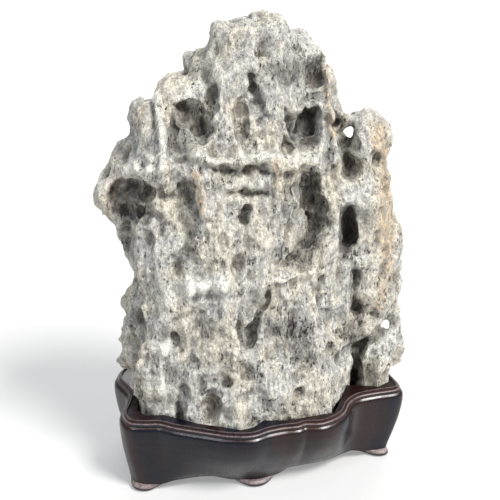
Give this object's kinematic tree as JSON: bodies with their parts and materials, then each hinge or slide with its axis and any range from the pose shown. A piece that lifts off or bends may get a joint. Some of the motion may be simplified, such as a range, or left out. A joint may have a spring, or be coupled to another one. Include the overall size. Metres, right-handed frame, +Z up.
{
  "type": "scholars rock on stand",
  "caption": "Upright, pitted and craggy viewing stone whose foot rests in a carved, lobed hardwood stand on low pads",
  "frame": {"origin": "middle of the footprint on the ground, under the pads", "axes": "+Z up, -Y the face of the stone, +X to the right when looking at the face"},
  "size_m": [0.3052, 0.1892, 0.4548],
  "materials": {
    "stone": "natural, rough and pitted, warm grey with cream crests and brown hollows",
    "dark_wood": "dark reddish-brown hardwood, carved and lacquered to a soft gloss"
  },
  "bodies": {
    "root": {"stone": "stone", "stand": "dark_wood", "foot_front_left": "dark_wood", "foot_front_middle": "dark_wood", "foot_front_right": "dark_wood", "foot_back_right": "dark_wood", "foot_back_left": "dark_wood"}
  },
  "joints": []
}
